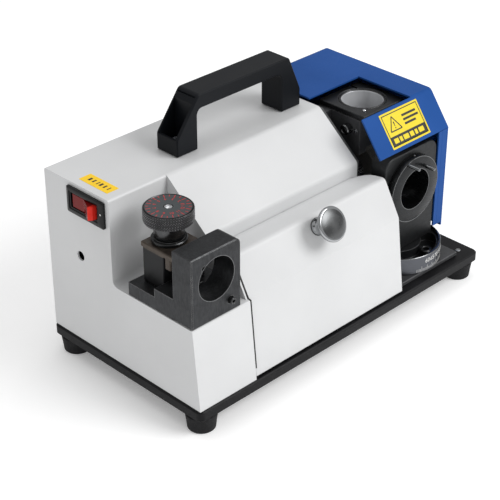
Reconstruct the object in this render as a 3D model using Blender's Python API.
"""Bench drill bit sharpener: a folded sheet-metal housing on a cast base, with a setting station at its
left front, a storage compartment behind a drop-down door, and a two-port grinding head under a blue cover.

Sizes are millimetres in the machine's own frame, and point() turns them into metres in the part's frame:
x runs from the housing's left end, y from its front bottom edge to the rear, z up from the base's top.
The part's origin is on the floor, under the middle of its outline, with +X to the right and +Y to the rear.
"""
import math

import bmesh
import bpy
from mathutils import Matrix, Vector

MM = 0.001
GAP = 0.3                      # clearance between pieces that touch

# Base and feet
BASE_LEFT, BASE_RIGHT = -1.5, 319.5
BASE_FRONT, BASE_REAR = -1.5, 165.0
BASE_THICK = 9.0
FOOT_HEIGHT = 14.0
FOOT_X = (11.0, 307.5)
FOOT_Y = (11.0, 152.5)

# White housing
SHEET = 1.5
HOUSING_RIGHT = 218.0
HOUSING_REAR = 163.5
HOUSING_TOP = 136.5
TOP_FRONT_Y = 91.0             # front edge of the flat top, and the recess's back wall
LEDGE_Z = 66.2
LEDGE_FRONT_Y = 6.8
LEDGE_RIGHT = 55.2
SLANT_FOOT = (49.3, 102.0)     # y, z where the slanted front turns down
STEP_Y, STEP_Z = 42.0, 89.5    # wall behind the compartment, and the step that the door's flange rests on

# Door
DOOR_LEFT, DOOR_RIGHT = 58.2, 223.5
DOOR_TOP = (48.8, 91.5)         # y, z of its rear edge
DOOR_NOSE = (25.5, 95.3)
DOOR_FOLD = (9.3, 66.1)
DOOR_FOOT = (1.5, 1.8)
DOOR_AXIS = (5.4, 7.0)
KNOB_X = 141.8
KNOB_ALONG_SLANT = 0.29        # how far down the slanted panel the knob sits

# Handle
HANDLE_X = (78.0, 209.5)
HANDLE_Y = (104.0, 127.0)
HANDLE_TOP = 181.0
HANDLE_SHOULDER = 151.0
HANDLE_BAR_X = (100.5, 187.0 + 9.5)
LEG = 21.0
BAR = 11.5

# Switch, on the left end
SWITCH_Y = (95.0, 136.0)
SWITCH_Z = (112.0, 133.3)
ROCKER_PIVOT = (0.0, 117.3)    # x, y
ROCKER_TILT = 14.0
ROCKER_REACH = 7.27            # how far it stands out of the housing's end

# Setting station
BLOCK_X = (0.5, 47.5)
BLOCK_Y = (6.8, 27.0)
BLOCK_TOP = 123.0
BORE_R = 17.0
SET_BORE = (24.0, 99.4)        # x, z
DIAL = (26.0, 57.0)            # x, y
DIAL_TOP = 136.0
DIAL_R = 18.6
DIAL_RIM = 10.8

# Grinding head
SHAFT_Y, SHAFT_Z = 81.0, 73.5
HEAD_X = (233.0, 282.0)
HEAD_Y = (57.0, 105.0)
HEAD_TOP = 133.5
HEAD_SCREW, HEAD_GRUB = (72.5, 119.0), (65.6, 118.2)    # y, z
PORT_X = 258.0
WHEEL_R = 33.0
WHEEL_X = (248.0, 268.0)

# Swivelling front port
SWIVEL = (262.0, 42.0)
DISC_R = 37.0
DISC_Z = (4.3, 17.5)
BRACKET_X = (227.5, 290.5)
BRACKET_Y = (28.0, 43.5)
BRACKET_TOP = 106.0
FLANGE_R = 28.5
FLANGE_FRONT = 22.0
STOP_PINS = {"left": (248.4, 98.3), "right": (267.6, 91.4)}    # x, z
LOCK_RADIUS, LOCK_ANGLE = 27.0, -73.0

# Blue cover
COVER_X = (219.6, 303.0)
COVER_TOP = 139.2
COVER_BEND_Y = 47.8
COVER_NOSE = (27.0, 111.0)
COVER_HEM_Z = 20.5
WINDOW_X, WINDOW_Y = 278.5, 103.5

GLAND_X, GLAND_Z = 34.0, 26.0
GLAND_REACH = 12.5

X_MID = (BASE_RIGHT - ROCKER_REACH) / 2
Y_MID = (BASE_FRONT + HOUSING_REAR + GLAND_REACH) / 2
FLOOR = BASE_THICK + FOOT_HEIGHT

PAINT_WHITE = ("housing_white", (0.80, 0.81, 0.82), 0.42, 0.0)
PAINT_BLUE = ("cover_blue", (0.045, 0.12, 0.36), 0.38, 0.0)
BLACK_CAST = ("cast_black", (0.030, 0.032, 0.035), 0.5, 0.3)
BLACK_OXIDE = ("oxide_steel", (0.075, 0.078, 0.082), 0.42, 0.8)
BRIGHT_STEEL = ("bright_steel", (0.62, 0.63, 0.65), 0.22, 1.0)
CHROME = ("chrome", (0.80, 0.81, 0.83), 0.07, 1.0)
RUBBER = ("rubber", (0.022, 0.022, 0.024), 0.85, 0.0)
BLACK_PLASTIC = ("handle_plastic", (0.028, 0.031, 0.036), 0.45, 0.0)
RED_PLASTIC = ("rocker_red", (0.75, 0.06, 0.035), 0.25, 0.0)
GREY_MOTOR = ("motor_grey", (0.22, 0.24, 0.26), 0.45, 0.3)
ABRASIVE = ("wheel_abrasive", (0.33, 0.28, 0.20), 0.9, 0.0)
GALVANISED = ("galvanised", (0.55, 0.57, 0.58), 0.4, 1.0)


# ---------------------------------------------------------------- frame and materials

def point(x, y, z):
    """A place in the machine's frame, in millimetres, as metres in the part's frame."""
    return Vector(((x - X_MID) * MM, (y - Y_MID) * MM, (z + FLOOR) * MM))


def material(spec):
    name, colour, roughness, metallic = spec
    found = bpy.data.materials.get(name)
    if found:
        return found
    made = bpy.data.materials.new(name)
    made.use_nodes = True
    shader = made.node_tree.nodes["Principled BSDF"]
    shader.inputs["Base Color"].default_value = (*colour, 1.0)
    shader.inputs["Roughness"].default_value = roughness
    shader.inputs["Metallic"].default_value = metallic
    return made


def clear_scene():
    for found in list(bpy.data.objects):
        bpy.data.objects.remove(found, do_unlink=True)


# ---------------------------------------------------------------- outlines

def rounded(corners, steps=4):
    """Outline through (u, v) or (u, v, radius) corners, with an arc at each corner that has a radius."""
    outline = []
    count = len(corners)
    for index, corner in enumerate(corners):
        here = Vector(corner[:2])
        radius = corner[2] if len(corner) > 2 else 0.0
        if radius <= 0:
            outline.append(tuple(here))
            continue
        back = (Vector(corners[index - 1][:2]) - here).normalized()
        ahead = (Vector(corners[(index + 1) % count][:2]) - here).normalized()
        half = back.angle(ahead) / 2
        centre = here + (back + ahead).normalized() * (radius / math.sin(half))
        start = here + back * (radius / math.tan(half)) - centre
        end = here + ahead * (radius / math.tan(half)) - centre
        sweep = start.angle_signed(end)
        for step in range(steps + 1):
            turn = Matrix.Rotation(-sweep * step / steps, 2)
            outline.append(tuple(centre + turn @ start))
    return outline


def offset_path(path, distance):
    """An open path moved sideways by a distance, to the left of its direction, with mitred corners."""
    normals = []
    for first, second in zip(path, path[1:]):
        along = (Vector(second) - Vector(first)).normalized()
        normals.append(Vector((-along.y, along.x)))
    moved = []
    for index, here in enumerate(path):
        before = normals[max(index - 1, 0)]
        after = normals[min(index, len(normals) - 1)]
        mitre = (before + after).normalized()
        moved.append(tuple(Vector(here) + mitre * (distance / mitre.dot(after))))
    return moved


def circle(radius, steps, centre=(0.0, 0.0), start=0.0, end=360.0):
    """Points on a circle, or on an arc of it with both ends."""
    whole = abs(end - start) >= 360.0
    count = steps if whole else steps + 1
    turns = [math.radians(start + (end - start) * step / steps) for step in range(count)]
    return [(centre[0] + radius * math.cos(turn), centre[1] + radius * math.sin(turn)) for turn in turns]


# ---------------------------------------------------------------- solids

def place(axis, u, v, along):
    """Outline coordinates to machine coordinates: u, v are (y, z), (x, z) or (x, y) across X, Y or Z."""
    if axis == "X":
        return (along, u, v)
    if axis == "Y":
        return (u, along, v)
    return (u, v, along)


def prism(axis, outline, low, high):
    """Solid with a flat outline across an axis, from low to high along it."""
    shape = bmesh.new()
    ends = []
    for along in (low, high):
        ends.append([shape.verts.new(place(axis, u, v, along)) for u, v in outline])
    shape.faces.new(ends[0])
    shape.faces.new(ends[1])
    count = len(outline)
    for index in range(count):
        after = (index + 1) % count
        shape.faces.new((ends[0][index], ends[0][after], ends[1][after], ends[1][index]))
    bmesh.ops.recalc_face_normals(shape, faces=shape.faces)
    return shape


def block(low, high):
    """Solid box between two corners."""
    outline = [(low[0], low[1]), (high[0], low[1]), (high[0], high[1]), (low[0], high[1])]
    return prism("Z", outline, low[2], high[2])


def turned(axis, centre, profile, steps=32):
    """Solid of revolution from (radius, along) points; a point with radius 0 closes an end."""
    shape = bmesh.new()
    rings = []
    for radius, along in profile:
        if radius <= 0:
            rings.append([shape.verts.new(place(axis, centre[0], centre[1], along))])
        else:
            ring = circle(radius, steps, centre)
            rings.append([shape.verts.new(place(axis, u, v, along)) for u, v in ring])
    closed = profile[0][0] > 0 and profile[-1][0] > 0
    pairs = list(zip(rings, rings[1:])) + ([(rings[-1], rings[0])] if closed else [])
    for first, second in pairs:
        for index in range(steps):
            after = (index + 1) % steps
            corners = [first[index % len(first)], first[after % len(first)],
                       second[after % len(second)], second[index % len(second)]]
            shape.faces.new(list(dict.fromkeys(corners)))
    bmesh.ops.recalc_face_normals(shape, faces=shape.faces)
    return shape


def rod(axis, centre, radius, low, high, steps=32):
    return turned(axis, centre, [(0, low), (radius, low), (radius, high), (0, high)], steps)


def tube(axis, centre, inner, outer, low, high, steps=32):
    return turned(axis, centre, [(inner, low), (outer, low), (outer, high), (inner, high)], steps)


def hexagon(axis, centre, across, low, high):
    return prism(axis, circle(across / math.sqrt(3), 6, centre), low, high)


def cap_screw(axis, centre, head_r, head, shank_r, tip, socket=True):
    """Socket head cap screw: head is (under, top) along the axis, tip is the shank's end."""
    under, top = head
    chamfer = math.copysign(0.6, top - under)
    profile = [(0, tip), (shank_r, tip), (shank_r, under), (head_r, under), (head_r, top - chamfer),
               (head_r - 0.6, top)]
    if socket:
        floor = top - (top - under) * 0.55
        profile += [(head_r * 0.52, top), (head_r * 0.52, floor)]
        profile += [(0, floor)]
    else:
        profile += [(0, top)]
    return turned(axis, centre, profile, 20)


# ---------------------------------------------------------------- objects

def make(name, shape, spec, pivot=None, smooth=True):
    """An object from a solid drawn in the machine's frame, with its origin at the pivot."""
    origin = point(*pivot) if pivot else Vector((0.0, 0.0, 0.0))
    for vertex in shape.verts:
        vertex.co = point(*vertex.co) - origin
    mesh = bpy.data.meshes.new(name)
    shape.to_mesh(mesh)
    shape.free()
    made = bpy.data.objects.new(name, mesh)
    bpy.context.scene.collection.objects.link(made)
    if pivot:
        made.location = origin
    if spec:
        made.data.materials.append(material(spec))
    if smooth:
        mesh.shade_smooth()
        mesh.set_sharp_from_angle(angle=math.radians(35))
    return made


def bevel(target, width, segments=1, angle=40.0):
    """Rounds or chamfers the edges that turn more than an angle; width in millimetres."""
    added = target.modifiers.new("Bevel", "BEVEL")
    added.width = width * MM
    added.segments = segments
    added.limit_method = "ANGLE"
    added.angle_limit = math.radians(angle)
    return target


def combine(target, shape, operation, round_width=0.0):
    """Adds a solid to a target, or cuts it out, with a hidden helper object."""
    helper = make(target.name + "_" + operation.lower(), shape, None, smooth=False)
    helper.hide_render = True
    helper.display_type = "WIRE"
    if round_width:
        bevel(helper, round_width, 2)
    added = target.modifiers.new(operation.title(), "BOOLEAN")
    added.operation = operation
    added.object = helper
    return target


def cut(target, shape):
    return combine(target, shape, "DIFFERENCE")


def join(target, shape, round_width=0.0):
    return combine(target, shape, "UNION", round_width)


def pivot_empty(name, place_mm):
    made = bpy.data.objects.new(name, None)
    made.location = point(*place_mm)
    bpy.context.scene.collection.objects.link(made)
    return made


def ride(parent, *pieces):
    """Parents pieces to a joint's empty without moving them."""
    for piece in pieces:
        piece.parent = parent
        piece.matrix_parent_inverse = Matrix.Translation(parent.location).inverted()


# ---------------------------------------------------------------- base and feet

def build_base():
    corner = 5.0
    outline = rounded([(BASE_LEFT, BASE_FRONT, corner), (BASE_RIGHT, BASE_FRONT, corner),
                       (BASE_RIGHT, BASE_REAR, corner), (BASE_LEFT, BASE_REAR, corner)])
    base = make("base_plate", prism("Z", outline, -BASE_THICK, 0.0), BLACK_CAST)
    bevel(base, 1.2)
    for x in FOOT_X:
        for y in FOOT_Y:
            cut(base, rod("Z", (x, y), 2.6, -BASE_THICK - 1, -2.5, 16))
    cut(base, rod("Z", lock_place(), 3.4, -6.0, 1.0, 20))


def build_feet():
    names = {(0, 0): "front_left", (1, 0): "front_right", (0, 1): "rear_left", (1, 1): "rear_right"}
    top = -BASE_THICK - GAP
    floor = -BASE_THICK - FOOT_HEIGHT
    for (column, row), name in names.items():
        centre = (FOOT_X[column], FOOT_Y[row])
        profile = [(2.6, top), (12.2, top), (10.8, floor + 0.8), (10.2, floor), (5.4, floor),
                   (5.4, floor + 7.0), (2.6, floor + 7.0)]
        make("foot_" + name, turned("Z", centre, profile, 32), RUBBER)
        under = floor + 7.0 - GAP
        screw = cap_screw("Z", centre, 4.6, (under, under - 3.4), 2.2, -3.5, socket=False)
        make("foot_screw_" + name, screw, GALVANISED)


# ---------------------------------------------------------------- white housing

def build_housing():
    left = rounded([(0.0, GAP), (LEDGE_FRONT_Y, LEDGE_Z, 1.5), (TOP_FRONT_Y, LEDGE_Z, 5.0),
                    (TOP_FRONT_Y, HOUSING_TOP, 2.0), (HOUSING_REAR, HOUSING_TOP, 2.0), (HOUSING_REAR, GAP)])
    main = rounded([(STEP_Y, GAP), (STEP_Y, STEP_Z), (SLANT_FOOT[0], STEP_Z), (*SLANT_FOOT, 5.0),
                    (TOP_FRONT_Y, HOUSING_TOP, 6.0), (HOUSING_REAR, HOUSING_TOP, 2.0), (HOUSING_REAR, GAP)])
    shell = make("housing", prism("X", left, 0.0, LEDGE_RIGHT + SHEET), PAINT_WHITE)
    join(shell, prism("X", main, LEDGE_RIGHT, HOUSING_RIGHT))

    t = SHEET
    inner_left = [(t, -1.0), (LEDGE_FRONT_Y + t, LEDGE_Z - t), (TOP_FRONT_Y + t, LEDGE_Z - t),
                  (TOP_FRONT_Y + t, HOUSING_TOP - t), (HOUSING_REAR - t, HOUSING_TOP - t), (HOUSING_REAR - t, -1.0)]
    cut(shell, prism("X", inner_left, t, LEDGE_RIGHT))
    inner_main = [(STEP_Y + t, -1.0), (STEP_Y + t, STEP_Z - t), (SLANT_FOOT[0] + t, STEP_Z - t),
                  (SLANT_FOOT[0] + t, SLANT_FOOT[1] - t * 0.6), (TOP_FRONT_Y + t * 0.6, HOUSING_TOP - t),
                  (HOUSING_REAR - t, HOUSING_TOP - t), (HOUSING_REAR - t, -1.0)]
    cut(shell, prism("X", inner_main, LEDGE_RIGHT + t, HOUSING_RIGHT + 1.0))

    cheek = [(STEP_Y + 0.5, GAP), (13.5, GAP), (13.5, 20.0), (DOOR_FOLD[0] + 4.0, DOOR_FOLD[1] - 1.0),
             (DOOR_NOSE[0] + 4.0, STEP_Z - 0.8), (STEP_Y + 0.5, STEP_Z - 0.8)]
    join(shell, prism("X", cheek, HOUSING_RIGHT - SHEET, HOUSING_RIGHT))
    left_cheek = rounded([(51.0, LEDGE_Z - 0.5), (DOOR_FOLD[0], LEDGE_Z - 0.5), (*DOOR_NOSE, 4.0), DOOR_TOP,
                          (51.0, 91.0)])
    join(shell, prism("X", left_cheek, LEDGE_RIGHT, LEDGE_RIGHT + SHEET))
    axis_y, axis_z = DOOR_AXIS
    for low, high, rear in ((LEDGE_RIGHT - 3.0, LEDGE_RIGHT + SHEET, 8.0), (HOUSING_RIGHT - SHEET, HOUSING_RIGHT, 14.5)):
        lug = [(axis_y, axis_z - 0.4), (rear, axis_z - 0.4), (rear, axis_z + 4.0), (axis_y, axis_z + 4.0)]
        join(shell, prism("X", lug, low, high))

    wiring_way = block((LEDGE_RIGHT - 1, 104.0, 8.0), (LEDGE_RIGHT + t + 1, 156.0, 118.0))
    cut(shell, wiring_way)
    cut(shell, block((-1, SWITCH_Y[0] + 4.6, SWITCH_Z[0] + 2.2), (t + 1, SWITCH_Y[1] - 2.6, SWITCH_Z[1] - 2.2)))
    cut(shell, rod("X", (126.5, 76.5), 4.0, -1, t + 1, 24))
    cut(shell, rod("Y", (GLAND_X, GLAND_Z), 7.3, HOUSING_REAR - t - 1, HOUSING_REAR + 1, 24))
    for x in housing_screw_x():
        cut(shell, rod("Y", (x, 9.0), 2.3, HOUSING_REAR - t - 1, HOUSING_REAR + 1, 16))
    for x in handle_screw_x():
        cut(shell, rod("Z", (x, sum(HANDLE_Y) / 2), 2.8, HOUSING_TOP - t - 1, HOUSING_TOP + 1, 16))


def housing_screw_x():
    return (70.0, 200.0)


def handle_screw_x():
    return (HANDLE_X[0] + 9.5, HANDLE_X[1] - 9.5)


def build_housing_screws():
    for index, x in enumerate(housing_screw_x()):
        head = (HOUSING_REAR + GAP, HOUSING_REAR + 2.6)
        screw = cap_screw("Y", (x, 9.0), 3.6, head, 2.0, HOUSING_REAR - 9.0)
        make("housing_screw_" + ("left", "right")[index], screw, GALVANISED)


# ---------------------------------------------------------------- door and compartment

def door_slant():
    """Start of the slanted panel at the nose, its direction down the slope, its outward normal, its length."""
    nose = Vector(DOOR_NOSE)
    down = Vector(DOOR_FOLD) - nose
    return nose, down.normalized(), Vector((down.y, -down.x)).normalized(), down.length


def build_door():
    axis = (DOOR_LEFT, *DOOR_AXIS)
    hinge = pivot_empty("door_axis", axis)
    path = rounded([DOOR_TOP, (*DOOR_NOSE, 4.0), DOOR_FOLD, DOOR_FOOT])
    inside = offset_path(path, SHEET)
    outline = path + inside[::-1]
    door = make("door", prism("X", outline, DOOR_LEFT, DOOR_RIGHT), PAINT_WHITE, axis)
    flange = offset_path(path, SHEET - 0.3)[1:] + [
        (DOOR_AXIS[0] + 3.4, DOOR_FOOT[1]), (DOOR_AXIS[0] + 3.4, 12.0), (DOOR_FOLD[0] + 7.0, DOOR_FOLD[1] - 2.0),
        (DOOR_NOSE[0] + 9.0, DOOR_NOSE[1] - 2.7)]
    join(door, prism("X", flange, DOOR_LEFT, DOOR_LEFT + SHEET))
    join(door, prism("X", flange, DOOR_RIGHT - SHEET, DOOR_RIGHT))
    for side in (DOOR_LEFT, DOOR_RIGHT - SHEET):
        cut(door, rod("X", DOOR_AXIS, 1.45, side - 0.5, side + SHEET + 0.5, 16))

    nose, down, out, length = door_slant()
    seat = nose + down * (length * KNOB_ALONG_SLANT)
    knob_axis = (KNOB_X, seat.x, seat.y)
    corner = [(2, 52.0), (2, 34.0), (0, 35.5), (-0.8, 39.5), (-3.4, 43.0), (-8.0, 46.0), (-14.0, 48.2), (-20.0, 52.0)]
    corner = prism("Z", [(DOOR_RIGHT + x, y) for x, y in corner], DOOR_TOP[1] - 4, DOOR_TOP[1] + 5)
    cut(door, corner)
    cut(door, tilted_turn(knob_axis, out, [(0, -6.0), (2.5, -6.0), (2.5, 3.0), (0, 3.0)], 16))
    knob_profile = [(0, -5.0), (2.1, -5.0), (2.1, GAP), (6.6, GAP), (6.6, 1.8), (5.4, 4.2), (5.0, 8.0), (6.2, 11.6),
                    (11.0, 13.8), (13.4, 15.4), (13.6, 16.9), (12.6, 18.1), (8.6, 19.0), (0, 19.5)]
    knob = make("door_knob", tilted_turn(knob_axis, out, knob_profile, 40), CHROME, axis)
    ride(hinge, door, knob)

    pins = {"left": (LEDGE_RIGHT - 3.5, DOOR_LEFT + SHEET + 1.2), "right": (HOUSING_RIGHT - 5.0, DOOR_RIGHT + 1.2)}
    for side, (low, high) in pins.items():
        make("door_pin_" + side, rod("X", DOOR_AXIS, 1.35, low, high, 16), BRIGHT_STEEL)
        cut(bpy.data.objects["housing"], rod("X", DOOR_AXIS, 1.65, low - 0.4, high, 16))


def tilted_turn(place_mm, out, profile, steps):
    """Turned solid whose axis leaves a point in the YZ plane along out; heights count from the point."""
    shape = turned("Z", (0.0, 0.0), profile, steps)
    tilt = Matrix.Rotation(math.atan2(-out.x, out.y), 4, "X")
    bmesh.ops.transform(shape, matrix=Matrix.Translation(Vector(place_mm)) @ tilt, verts=shape.verts)
    return shape


def build_compartment():
    wall = STEP_Y - GAP
    rack = make("collet_rack", block((64.0, 17.0, 21.0), (210.0, wall, 23.0)), GALVANISED)
    join(rack, block((64.0, wall - 2.0, 8.0), (210.0, wall, 22.0)))
    for index in range(6):
        cut(rack, rod("Z", (77.0 + index * 24.0, 28.5), 9.5, 18.0, 26.0, 24))
    make("door_magnet", block((138.0, 35.5, 79.0), (161.0, wall, 88.0)), BLACK_PLASTIC)


# ---------------------------------------------------------------- handle

def build_handle():
    x0, x1 = HANDLE_X
    b0, b1 = HANDLE_BAR_X
    seat = HOUSING_TOP + GAP
    under = HANDLE_TOP - BAR
    outline = rounded([(x0, seat), (x0, HANDLE_SHOULDER, 3.0), (b0, HANDLE_TOP, 4.0), (b1, HANDLE_TOP, 4.0),
                       (x1, HANDLE_SHOULDER, 3.0), (x1, seat), (x1 - LEG, seat), (x1 - LEG, under, 5.0),
                       (x0 + LEG, under, 5.0), (x0 + LEG, seat)], 5)
    handle = make("handle", prism("Y", outline, *HANDLE_Y), BLACK_PLASTIC)
    bevel(handle, 0.9)
    wall = 2.2
    for end, inward, bar in ((x0, 1, b0), (x1, -1, b1)):
        outside = end - 2 * inward
        lip = end + inward * wall
        deep = end + inward * (LEG - 3.5)
        outline = [(lip, HANDLE_SHOULDER - 9.0), (deep, HANDLE_SHOULDER - 9.0), (deep, HANDLE_TOP - 3.0),
                   (bar - inward, HANDLE_TOP - 3.0), (bar - inward * 4.0, HANDLE_TOP + 4), (outside, HANDLE_TOP + 4),
                   (outside, HANDLE_SHOULDER - 0.6), (lip, HANDLE_SHOULDER - 0.6)]
        cut(handle, prism("Y", outline, HANDLE_Y[0] + wall, HANDLE_Y[1] - wall))
    for x in handle_screw_x():
        cut(handle, rod("Z", (x, sum(HANDLE_Y) / 2), 3.0, seat - 1, HANDLE_SHOULDER - 8.0, 16))
    for index, x in enumerate(handle_screw_x()):
        under_head = HANDLE_SHOULDER - 9.0 + GAP
        screw = cap_screw("Z", (x, sum(HANDLE_Y) / 2), 5.0, (under_head, under_head + 4.5), 2.5, HOUSING_TOP - 7.0)
        make("handle_screw_" + ("left", "right")[index], screw, BRIGHT_STEEL)


# ---------------------------------------------------------------- switch

def build_switch():
    y0, y1 = SWITCH_Y
    z0, z1 = SWITCH_Z
    outline = rounded([(y0, z0, 1.0), (y1, z0, 1.0), (y1, z1, 1.0), (y0, z1, 1.0)], 2)
    bezel = make("switch_body", prism("X", outline, -2.3, -GAP), BLACK_PLASTIC)
    join(bezel, block((-1.0, y0 + 5.0, z0 + 2.6), (20.0, y1 - 3.0, z1 - 2.6)))
    px, py = ROCKER_PIVOT
    cut(bezel, block((-4.0, py - 14.6, z0 + 4.6), (14.0, py + 14.6, z1 - 4.6)))

    pivot = (px, py, (z0 + z1) / 2)
    axis = pivot_empty("rocker_axis", pivot)
    level = [(-4.4, -12.4), (-1.0, -13.8), (3.0, -13.0), (8.0, -5.0), (8.0, 5.0), (3.0, 13.0), (-1.0, 13.8),
             (-4.4, 12.4), (-1.2, 0.0)]
    lean = Matrix.Rotation(math.radians(-ROCKER_TILT), 2)
    rest = [tuple(lean @ Vector(corner) + Vector((px, py))) for corner in level]
    rocker = make("rocker", prism("Z", rest, z0 + 5.2, z1 - 5.2), RED_PLASTIC, pivot)
    ride(axis, rocker)


# ---------------------------------------------------------------- setting station

def build_setting():
    x0, x1 = BLOCK_X
    y0, y1 = BLOCK_Y
    seat = LEDGE_Z + GAP
    front = rounded([(x0, seat), (x1, seat), (x1, BLOCK_TOP, 5.0), (x0, BLOCK_TOP, 0.8)])
    body = bevel(make("setting_block", prism("Y", front, y0, y1), BLACK_OXIDE), 0.7)
    join(body, block((x0, y1 - 1.0, seat), (x1, 46.0, 84.0)))
    join(body, block((x0, 45.0, seat), (x1, 74.0, 77.0)))
    cut(body, rod("Y", SET_BORE, BORE_R, y0 - 2, y1 + 2, 48))
    key = rod("Y", (SET_BORE[0] - 11.6, SET_BORE[1] + 12.6), 2.2, y0 - 2, y1 + 2, 12)
    cut(body, key)
    cut(body, rod("Y", (37.5, 76.0), 3.1, y0 - 2, y0 + 9.0, 20))
    cut(body, rod("Z", DIAL, 4.6, 70.0, 90.0, 20))
    make("setting_screw", cap_screw("Y", (37.5, 76.0), 2.7, (y0 + 6.0, y0 + 0.6), 2.7, y0 + 8.6), BRIGHT_STEEL)

    x, y = DIAL
    column = make("setting_column", block((10.0, 46.0, 77.0 + GAP), (42.0, 68.0, 106.0)), BLACK_OXIDE)
    join(column, block((10.0, y1 + GAP, 105.0), (42.0, 70.0, 109.0)))
    for low in (10.0, 36.6):
        join(column, block((low, 39.0, 96.5), (low + 5.4, 44.6, 106.0)))
    cut(column, block((x - 6.0, 40.0, 76.0), (x + 6.0, 64.0, 105.0)))
    cut(column, rod("Z", DIAL, 4.6, 100.0, 112.0, 24))
    bevel(column, 0.7)

    slide_axis = pivot_empty("stop_axis", (x, y, 91.0))
    stop = make("stop_slide", block((x - 9.0, 31.0, 85.0), (x + 9.0, 45.0, 101.0)), BRIGHT_STEEL, (x, y, 91.0))
    join(stop, block((x - 5.7, 44.0, 87.0), (x + 5.7, 63.5, 97.0)))
    cut(stop, rod("Z", DIAL, 4.3, 84.0, 104.0, 24))
    cut(stop, prism("Z", [(x - 6.0, 30.0), (x, 36.5), (x + 6.0, 30.0)], 83.0, 103.0))
    ride(slide_axis, stop)

    make("dial_collar", tube("Z", DIAL, 9.9, 13.4, 109.0 + GAP, 112.6, 40), BLACK_OXIDE)

    dial_axis = pivot_empty("dial_axis", (x, y, 109.6))
    neck = 109.0 + 2 * GAP
    rim = DIAL_TOP - DIAL_RIM
    profile = [(4.2, neck), (9.4, neck), (9.4, rim - 1.2), (10.6, rim), (DIAL_R - 0.8, rim), (DIAL_R, rim + 0.8),
               (DIAL_R, DIAL_TOP - 0.8), (DIAL_R - 0.8, DIAL_TOP), (2.3, DIAL_TOP), (2.3, 129.5), (4.2, 129.5)]
    knob = make("dial_knob", turned("Z", DIAL, profile, 48), BLACK_OXIDE, (x, y, 109.6))
    screw = make("lead_screw", rod("Z", DIAL, 3.8, 72.0, 129.0, 24), BRIGHT_STEEL, (x, y, 109.6))
    lock = make("dial_screw", cap_screw("Z", DIAL, 1.95, (130.0, DIAL_TOP + 0.2), 1.95, 129.4), BRIGHT_STEEL,
                (x, y, 109.6))
    ride(dial_axis, knob, screw, lock)


# ---------------------------------------------------------------- grinding head

def build_head():
    x0, x1 = HEAD_X
    y0, y1 = HEAD_Y
    wall_x = (HOUSING_RIGHT + 0.6, HOUSING_RIGHT + 5.0)
    inset = 3.0
    wall = [(SLANT_FOOT[0] + inset, GAP), (SLANT_FOOT[0] + inset, SLANT_FOOT[1] - 1.5),
            (TOP_FRONT_Y + 1.5, HOUSING_TOP - inset), (HOUSING_REAR - 5.0, HOUSING_TOP - inset),
            (HOUSING_REAR - 5.0, GAP)]
    head = make("head_casting", prism("X", wall, *wall_x), BLACK_CAST)
    top = HEAD_TOP - 4.5 - GAP
    join(head, block((x0, y0 + 4.0, 99.0), (x1 - 1.0, y1, top)))
    join(head, block((wall_x[1] - 1.0, 92.0, 92.0), (x0 + 1.0, y1, top)))
    cut(head, rod("X", (SHAFT_Y, SHAFT_Z), WHEEL_R + 2.5, x0 + 8.0, x1 + 2.0, 48))
    cut(head, rod("X", (SHAFT_Y, SHAFT_Z), 15.0, wall_x[0] - 2, wall_x[1] + 2, 32))
    cut(head, rod("Z", (PORT_X, SHAFT_Y), BORE_R + 2.3, 96.0, top + 2, 48))
    bevel(head, 0.6)
    cut(head, rod("X", HEAD_SCREW, 2.9, x0 - 2, x0 + 6.0, 16))
    cut(head, rod("X", HEAD_GRUB, 2.1, x0 - 2, x0 + 6.0, 16))

    plate = make("top_port_plate", block((x0, y0, top + GAP), (x1, y1, HEAD_TOP)), BLACK_OXIDE)
    cut(plate, rod("Z", (PORT_X, SHAFT_Y), BORE_R + 2.3, top - 2, HEAD_TOP + 2, 48))
    bevel(plate, 0.5)
    cut(plate, rod("Z", (241.5, 64.5), 1.9, top - 2, HEAD_TOP + 2, 16))
    cut(plate, block((268.5, 97.0, HEAD_TOP - 2.0), (271.0, y1 + 2, HEAD_TOP + 2)))

    low = SHAFT_Z + WHEEL_R + 2.2
    make("top_bushing", tube("Z", (PORT_X, SHAFT_Y), BORE_R, BORE_R + 2.0, low, HEAD_TOP, 48), BRIGHT_STEEL)
    make("port_pin", turned("Z", (241.5, 64.5), [(0, top + 1.0), (1.6, top + 1.0), (1.6, HEAD_TOP + 0.6),
                                                 (0.9, HEAD_TOP + 1.3), (0, HEAD_TOP + 1.5)], 16), BRIGHT_STEEL)
    make("head_cap_screw", cap_screw("X", HEAD_SCREW, 4.5, (x0 - GAP, x0 - 6.3), 2.5, x0 + 4.5), BLACK_OXIDE)
    make("head_grub_screw", cap_screw("X", HEAD_GRUB, 1.8, (x0 + 5.0, x0 + 0.8), 1.8, x0 + 5.6), BRIGHT_STEEL)


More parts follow.
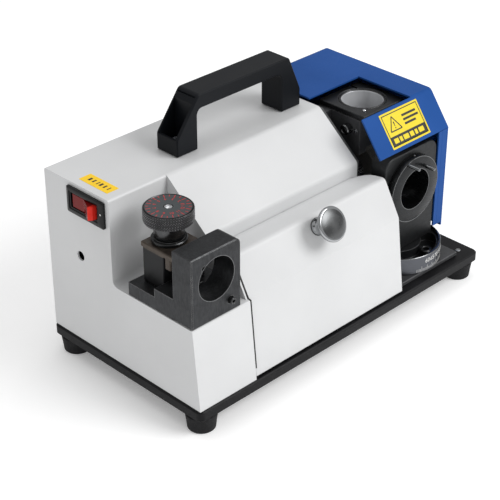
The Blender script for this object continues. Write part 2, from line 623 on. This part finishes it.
def build_motor():
    axis = (SHAFT_Y, SHAFT_Z)
    shaft_r = 5.7
    body = make("motor_body", tube("X", axis, shaft_r + 1.3, 33.0, 78.0, 194.0, 48), GREY_MOTOR)
    bevel(body, 1.0)
    ends = {"left": (62.5, 77.7, 63.5), "right": (194.3, 213.0, 204.0)}
    for side, (low, high, bearing) in ends.items():
        bell = make("motor_end_" + side, tube("X", axis, shaft_r + 1.3, 31.5, low, high, 48), GALVANISED)
        bevel(bell, 0.8)
        cut(bell, rod("X", axis, 14.3, bearing, bearing + 20.0, 32))
        ring = tube("X", axis, shaft_r + GAP, 14.0, bearing + GAP, bearing + 8.3, 32)
        make("bearing_" + side, ring, BRIGHT_STEEL)
    cradle = make("motor_cradle", block((96.0, 54.0, GAP), (176.0, 108.0, 62.0)), BLACK_CAST)
    cut(cradle, rod("X", axis, 33.0 + GAP, 90.0, 180.0, 48))
    bevel(cradle, 0.8)
    make("run_capacitor", rod("X", (141.0, 20.5), 15.0, 92.0, 148.0, 32), GREY_MOTOR)

    spin = pivot_empty("wheel_axis", (PORT_X, SHAFT_Y, SHAFT_Z))
    pivot = (PORT_X, SHAFT_Y, SHAFT_Z)
    shaft = make("motor_shaft", rod("X", axis, shaft_r, 59.5, 277.0, 24), BRIGHT_STEEL, pivot)
    low, high = WHEEL_X
    rim = WHEEL_R - 6.5
    wheel = make("grinding_wheel", turned("X", axis, [(shaft_r + GAP, low), (rim, low), (WHEEL_R, low + 8.0),
                                                      (WHEEL_R, high - 8.0), (rim, high), (shaft_r + GAP, high)], 48),
                 ABRASIVE, pivot)
    hub = make("wheel_flange", tube("X", axis, shaft_r + GAP, 14.0, 238.0, low - GAP, 32), BRIGHT_STEEL, pivot)
    nut = make("wheel_nut", hexagon("X", axis, 17.0, high + GAP, high + 7.0), BRIGHT_STEEL, pivot)
    cut(nut, rod("X", axis, shaft_r + GAP, high - 2, high + 9, 24))
    ride(spin, shaft, wheel, hub, nut)


# ---------------------------------------------------------------- swivelling front port

def lock_place():
    turn = math.radians(LOCK_ANGLE)
    return (SWIVEL[0] + LOCK_RADIUS * math.cos(turn), SWIVEL[1] + LOCK_RADIUS * math.sin(turn))


def arc_slot(radius, width, start, end, steps=14):
    """Outline of a slot that follows an arc about the swivel, with round ends."""
    inner, outer = radius - width / 2, radius + width / 2
    outline = circle(outer, steps, SWIVEL, start, end)
    for turn, reach in ((end, 1), (start, -1)):
        place_ = math.radians(turn)
        centre = (SWIVEL[0] + radius * math.cos(place_), SWIVEL[1] + radius * math.sin(place_))
        first = turn if reach > 0 else turn + 180.0
        cap = circle(width / 2, 6, centre, first, first + 180.0)[1:-1]
        if reach > 0:
            outline += cap + circle(inner, steps, SWIVEL, end, start)
        else:
            outline += cap
    return outline


def build_swivel():
    pivot = (*SWIVEL, DISC_Z[0])
    axis = pivot_empty("swivel_axis", pivot)
    low, high = DISC_Z
    disc = make("angle_disc", turned("Z", SWIVEL, [(4.4, low), (DISC_R, low), (DISC_R, high - 0.6),
                                                   (DISC_R - 0.6, high), (4.4, high)], 64), BLACK_OXIDE, pivot)
    cut(disc, prism("Z", arc_slot(LOCK_RADIUS, 12.5, -122.0, -34.0), high - 8.0, high + 2))
    cut(disc, prism("Z", arc_slot(LOCK_RADIUS, 7.0, -88.0, -58.0), low - 2, high))

    x0, x1 = BRACKET_X
    y0, y1 = BRACKET_Y
    face = rounded([(x0, high + GAP), (x1, high + GAP), (x1, BRACKET_TOP, 9.0), (x0, BRACKET_TOP, 9.0)], 5)
    bracket = make("port_bracket", prism("Y", face, y0, y1), BLACK_OXIDE, pivot)
    cut(bracket, rod("Y", (PORT_X, SHAFT_Z), 21.0, y0 - 2, y1 + 2, 48))
    bevel(bracket, 0.7)

    ring = turned("Y", (PORT_X, SHAFT_Z), [(BORE_R, FLANGE_FRONT), (FLANGE_R - 0.8, FLANGE_FRONT),
                                           (FLANGE_R, FLANGE_FRONT + 0.8), (FLANGE_R, y0 - GAP), (20.6, y0 - GAP),
                                           (20.6, y1), (BORE_R, y1)], 56)
    port = make("front_port_ring", ring, BLACK_OXIDE, pivot)
    pins = []
    for side, (x, z) in STOP_PINS.items():
        cut(port, rod("Y", (x, z), 1.6, FLANGE_FRONT - 1, FLANGE_FRONT + 4.0, 16))
        pin = [(0, FLANGE_FRONT + 3.7), (1.5, FLANGE_FRONT + 3.7), (1.5, FLANGE_FRONT - 10.6),
               (1.1, FLANGE_FRONT - 11.0), (0, FLANGE_FRONT - 11.0)]
        pins.append(make("stop_pin_" + side, turned("Y", (x, z), pin, 16), BRIGHT_STEEL, pivot))
    ride(axis, disc, bracket, port, *pins)

    bed = make("swivel_bed", block((229.0, 6.5, GAP), (300.0, 80.0, low - GAP)), BLACK_CAST)
    bevel(bed, 0.5)
    cut(bed, rod("Z", lock_place(), 3.4, -1, low + 1, 20))
    cut(bed, rod("Z", SWIVEL, 4.4, -1, low + 1, 24))
    make("swivel_pin", rod("Z", SWIVEL, 4.0, GAP, high - 1.0, 24), BRIGHT_STEEL)
    make("lock_screw", cap_screw("Z", lock_place(), 5.0, (high - 8.0 + GAP, high - 1.7), 3.0, -5.0), BLACK_OXIDE)


# ---------------------------------------------------------------- blue cover

def build_cover():
    x0, x1 = COVER_X
    t = SHEET
    path = rounded([(HOUSING_REAR, GAP), (HOUSING_REAR, COVER_TOP, 3.0), (COVER_BEND_Y, COVER_TOP, 5.0), COVER_NOSE], 3)
    cover = make("blue_cover", prism("X", path + offset_path(path, t)[::-1], x0, x1), PAINT_BLUE)
    nose_y, nose_z = COVER_NOSE
    side = offset_path(path, 0.2) + [(nose_y + 0.2, COVER_HEM_Z), (96.0, COVER_HEM_Z), (102.0, GAP)]
    join(cover, prism("X", side, x1 - t, x1))
    join(cover, block((x1 - 7.0, nose_y + 0.2, COVER_HEM_Z + 3.0), (x1 - 0.5, nose_y + 0.2 + t, nose_z - 0.6)))
    cut(cover, block((x0 - 2, COVER_BEND_Y + 0.6, COVER_TOP - 6), (WINDOW_X, WINDOW_Y, COVER_TOP + 4)))
    for y, z in cover_screws():
        cut(cover, rod("X", (y, z), 2.3, x1 - t - 1, x1 + 1, 16))
        head = (x1 + GAP, x1 + 2.6)
        name = "cover_screw_" + ("front", "rear")[y > 130]
        make(name, cap_screw("X", (y, z), 3.6, head, 2.0, x1 - 8.0), GALVANISED)


def cover_screws():
    return ((114.0, 9.0), (152.0, 9.0))


def build_gland():
    rear = HOUSING_REAR
    profile = [(3.6, rear - 6.0), (7.0, rear - 6.0), (7.0, rear + GAP), (9.5, rear + GAP), (9.5, rear + 3.0),
               (6.6, rear + 4.0), (5.4, rear + GLAND_REACH), (3.6, rear + GLAND_REACH)]
    make("cord_gland", turned("Y", (GLAND_X, GLAND_Z), profile, 28), RUBBER)


def main():
    clear_scene()
    build_base()
    build_feet()
    build_housing()
    build_housing_screws()
    build_door()
    build_compartment()
    build_handle()
    build_switch()
    build_setting()
    build_head()
    build_motor()
    build_swivel()
    build_cover()
    build_gland()


main()
